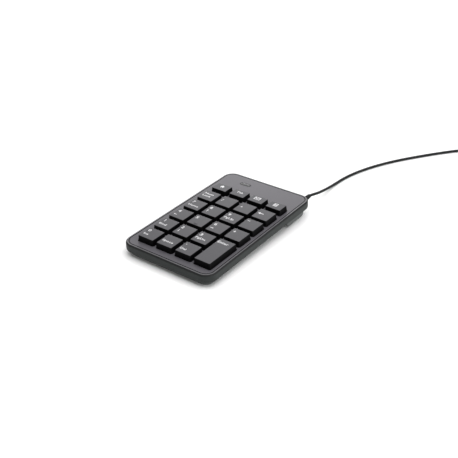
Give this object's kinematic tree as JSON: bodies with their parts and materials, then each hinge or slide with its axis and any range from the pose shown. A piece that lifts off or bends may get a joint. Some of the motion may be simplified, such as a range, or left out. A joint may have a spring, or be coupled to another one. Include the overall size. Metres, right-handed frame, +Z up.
{
  "type": "numeric keypad",
  "caption": "Wired numeric keypad with a low leaning case, sprung square keys in a recessed-well panel, a tall Enter key, an indicator window and a thin lead ending in a plug.",
  "frame": {"origin": "on the desk under the middle of the case, at the bottom of the feet", "axes": "+X to the user's right, +Y to the back edge that the lead leaves, +Z up"},
  "size_m": [0.2125, 0.3798, 0.0201],
  "materials": {
    "panel": "satin, fine moulded texture",
    "base": "matt moulded texture",
    "key_cap": "satin",
    "guide": "matt",
    "smoked_window": "clear smoked",
    "silicone": "matt silicone",
    "film": "printed polyester film",
    "steel": "plated",
    "board": "solder resist",
    "chip": "moulded",
    "led": "clear",
    "socket": "matt",
    "lead": "satin PVC jacket",
    "plug_body": "satin overmould",
    "plug_shell": "nickel plated",
    "plug_tongue": "matt",
    "rubber": "matt"
  },
  "bodies": {
    "case": {"top_cover": "panel", "led_window": "smoked_window", "bottom_cover": "base", "key_guide": "guide", "dome_sheet": "silicone", "membrane_top": "film", "membrane_spacer": "film", "membrane_bottom": "film", "backing_plate": "steel", "controller_board": "board", "controller_chip": "chip", "num_lock_led": "led", "lead_socket": "socket", "inner_lead": "lead", "strain_relief": "lead", "case_screw_front_left": "steel", "case_screw_front_right": "steel", "case_screw_middle": "steel", "case_screw_back_left": "steel", "case_screw_back_right": "steel", "board_screw_left": "steel", "board_screw_right": "steel", "foot_front_left": "rubber", "foot_front_right": "rubber", "foot_back_left": "rubber", "foot_back_right": "rubber", "cord_tube": "lead", "cord_coil": "lead", "cord_tie": "rubber", "cord_end_tube": "lead", "usb_overmould": "plug_body", "usb_shell": "plug_shell", "usb_tongue": "plug_tongue"},
    "key_0_body": {"key_0": "key_cap"},
    "key_space_body": {"key_space": "key_cap"},
    "key_decimal_body": {"key_decimal": "key_cap"},
    "key_1_body": {"key_1": "key_cap"},
    "key_2_body": {"key_2": "key_cap"},
    "key_3_body": {"key_3": "key_cap"},
    "key_4_body": {"key_4": "key_cap"},
    "key_5_body": {"key_5": "key_cap"},
    "key_6_body": {"key_6": "key_cap"},
    "key_plus_body": {"key_plus": "key_cap"},
    "key_7_body": {"key_7": "key_cap"},
    "key_8_body": {"key_8": "key_cap"},
    "key_9_body": {"key_9": "key_cap"},
    "key_minus_body": {"key_minus": "key_cap"},
    "key_num_lock_body": {"key_num_lock": "key_cap"},
    "key_divide_body": {"key_divide": "key_cap"},
    "key_multiply_body": {"key_multiply": "key_cap"},
    "key_backspace_body": {"key_backspace": "key_cap"},
    "key_enter_body": {"key_enter": "key_cap"},
    "key_calculator_body": {"key_calculator": "key_cap"},
    "key_tab_body": {"key_tab": "key_cap"},
    "key_mail_body": {"key_mail": "key_cap"},
    "key_home_body": {"key_home": "key_cap"},
    "levelling_wire": {"enter_levelling_wire": "steel"}
  },
  "joints": [
    {"name": "key_0_press", "type": "slide", "parent": "case", "child": "key_0_body", "axis": [0, 0.0332, -0.9995], "range_m": [0, 0.003], "stiffness_N_per_m": 180, "springref_m": -0.0008, "deforming": ["dome_sheet"]},
    {"name": "key_space_press", "type": "slide", "parent": "case", "child": "key_space_body", "axis": [0, 0.0332, -0.9995], "range_m": [0, 0.003], "stiffness_N_per_m": 180, "springref_m": -0.0008, "deforming": ["dome_sheet"]},
    {"name": "key_decimal_press", "type": "slide", "parent": "case", "child": "key_decimal_body", "axis": [0, 0.0332, -0.9995], "range_m": [0, 0.003], "stiffness_N_per_m": 180, "springref_m": -0.0008, "deforming": ["dome_sheet"]},
    {"name": "key_1_press", "type": "slide", "parent": "case", "child": "key_1_body", "axis": [0, 0.0332, -0.9995], "range_m": [0, 0.003], "stiffness_N_per_m": 180, "springref_m": -0.0008, "deforming": ["dome_sheet"]},
    {"name": "key_2_press", "type": "slide", "parent": "case", "child": "key_2_body", "axis": [0, 0.0332, -0.9995], "range_m": [0, 0.003], "stiffness_N_per_m": 180, "springref_m": -0.0008, "deforming": ["dome_sheet"]},
    {"name": "key_3_press", "type": "slide", "parent": "case", "child": "key_3_body", "axis": [0, 0.0332, -0.9995], "range_m": [0, 0.003], "stiffness_N_per_m": 180, "springref_m": -0.0008, "deforming": ["dome_sheet"]},
    {"name": "key_4_press", "type": "slide", "parent": "case", "child": "key_4_body", "axis": [0, 0.0332, -0.9995], "range_m": [0, 0.003], "stiffness_N_per_m": 180, "springref_m": -0.0008, "deforming": ["dome_sheet"]},
    {"name": "key_5_press", "type": "slide", "parent": "case", "child": "key_5_body", "axis": [0, 0.0332, -0.9995], "range_m": [0, 0.003], "stiffness_N_per_m": 180, "springref_m": -0.0008, "deforming": ["dome_sheet"]},
    {"name": "key_6_press", "type": "slide", "parent": "case", "child": "key_6_body", "axis": [0, 0.0332, -0.9995], "range_m": [0, 0.003], "stiffness_N_per_m": 180, "springref_m": -0.0008, "deforming": ["dome_sheet"]},
    {"name": "key_plus_press", "type": "slide", "parent": "case", "child": "key_plus_body", "axis": [0, 0.0332, -0.9995], "range_m": [0, 0.003], "stiffness_N_per_m": 180, "springref_m": -0.0008, "deforming": ["dome_sheet"]},
    {"name": "key_7_press", "type": "slide", "parent": "case", "child": "key_7_body", "axis": [0, 0.0332, -0.9995], "range_m": [0, 0.003], "stiffness_N_per_m": 180, "springref_m": -0.0008, "deforming": ["dome_sheet"]},
    {"name": "key_8_press", "type": "slide", "parent": "case", "child": "key_8_body", "axis": [0, 0.0332, -0.9995], "range_m": [0, 0.003], "stiffness_N_per_m": 180, "springref_m": -0.0008, "deforming": ["dome_sheet"]},
    {"name": "key_9_press", "type": "slide", "parent": "case", "child": "key_9_body", "axis": [0, 0.0332, -0.9995], "range_m": [0, 0.003], "stiffness_N_per_m": 180, "springref_m": -0.0008, "deforming": ["dome_sheet"]},
    {"name": "key_minus_press", "type": "slide", "parent": "case", "child": "key_minus_body", "axis": [0, 0.0332, -0.9995], "range_m": [0, 0.003], "stiffness_N_per_m": 180, "springref_m": -0.0008, "deforming": ["dome_sheet"]},
    {"name": "key_num_lock_press", "type": "slide", "parent": "case", "child": "key_num_lock_body", "axis": [0, 0.0332, -0.9995], "range_m": [0, 0.003], "stiffness_N_per_m": 180, "springref_m": -0.0008, "deforming": ["dome_sheet"]},
    {"name": "key_divide_press", "type": "slide", "parent": "case", "child": "key_divide_body", "axis": [0, 0.0332, -0.9995], "range_m": [0, 0.003], "stiffness_N_per_m": 180, "springref_m": -0.0008, "deforming": ["dome_sheet"]},
    {"name": "key_multiply_press", "type": "slide", "parent": "case", "child": "key_multiply_body", "axis": [0, 0.0332, -0.9995], "range_m": [0, 0.003], "stiffness_N_per_m": 180, "springref_m": -0.0008, "deforming": ["dome_sheet"]},
    {"name": "key_backspace_press", "type": "slide", "parent": "case", "child": "key_backspace_body", "axis": [0, 0.0332, -0.9995], "range_m": [0, 0.003], "stiffness_N_per_m": 180, "springref_m": -0.0008, "deforming": ["dome_sheet"]},
    {"name": "key_enter_press", "type": "slide", "parent": "case", "child": "key_enter_body", "axis": [0, 0.0332, -0.9995], "range_m": [0, 0.003], "stiffness_N_per_m": 180, "springref_m": -0.0008, "deforming": ["dome_sheet"]},
    {"name": "key_calculator_press", "type": "slide", "parent": "case", "child": "key_calculator_body", "axis": [0, 0.0332, -0.9995], "range_m": [0, 0.003], "stiffness_N_per_m": 180, "springref_m": -0.0008, "deforming": ["dome_sheet"]},
    {"name": "key_tab_press", "type": "slide", "parent": "case", "child": "key_tab_body", "axis": [0, 0.0332, -0.9995], "range_m": [0, 0.003], "stiffness_N_per_m": 180, "springref_m": -0.0008, "deforming": ["dome_sheet"]},
    {"name": "key_mail_press", "type": "slide", "parent": "case", "child": "key_mail_body", "axis": [0, 0.0332, -0.9995], "range_m": [0, 0.003], "stiffness_N_per_m": 180, "springref_m": -0.0008, "deforming": ["dome_sheet"]},
    {"name": "key_home_press", "type": "slide", "parent": "case", "child": "key_home_body", "axis": [0, 0.0332, -0.9995], "range_m": [0, 0.003], "stiffness_N_per_m": 180, "springref_m": -0.0008, "deforming": ["dome_sheet"]},
    {"name": "levelling_wire_swing", "type": "hinge", "parent": "case", "child": "levelling_wire", "pos_m": [0.0247, -0.04747, 0.00823], "axis": [0, 0.9995, 0.0332], "range_deg": [0, 26.26]}
  ],
  "couplings": [
    {"joint": "levelling_wire_swing", "follows": "key_enter_press", "rad_per_m": 151.04}
  ]
}
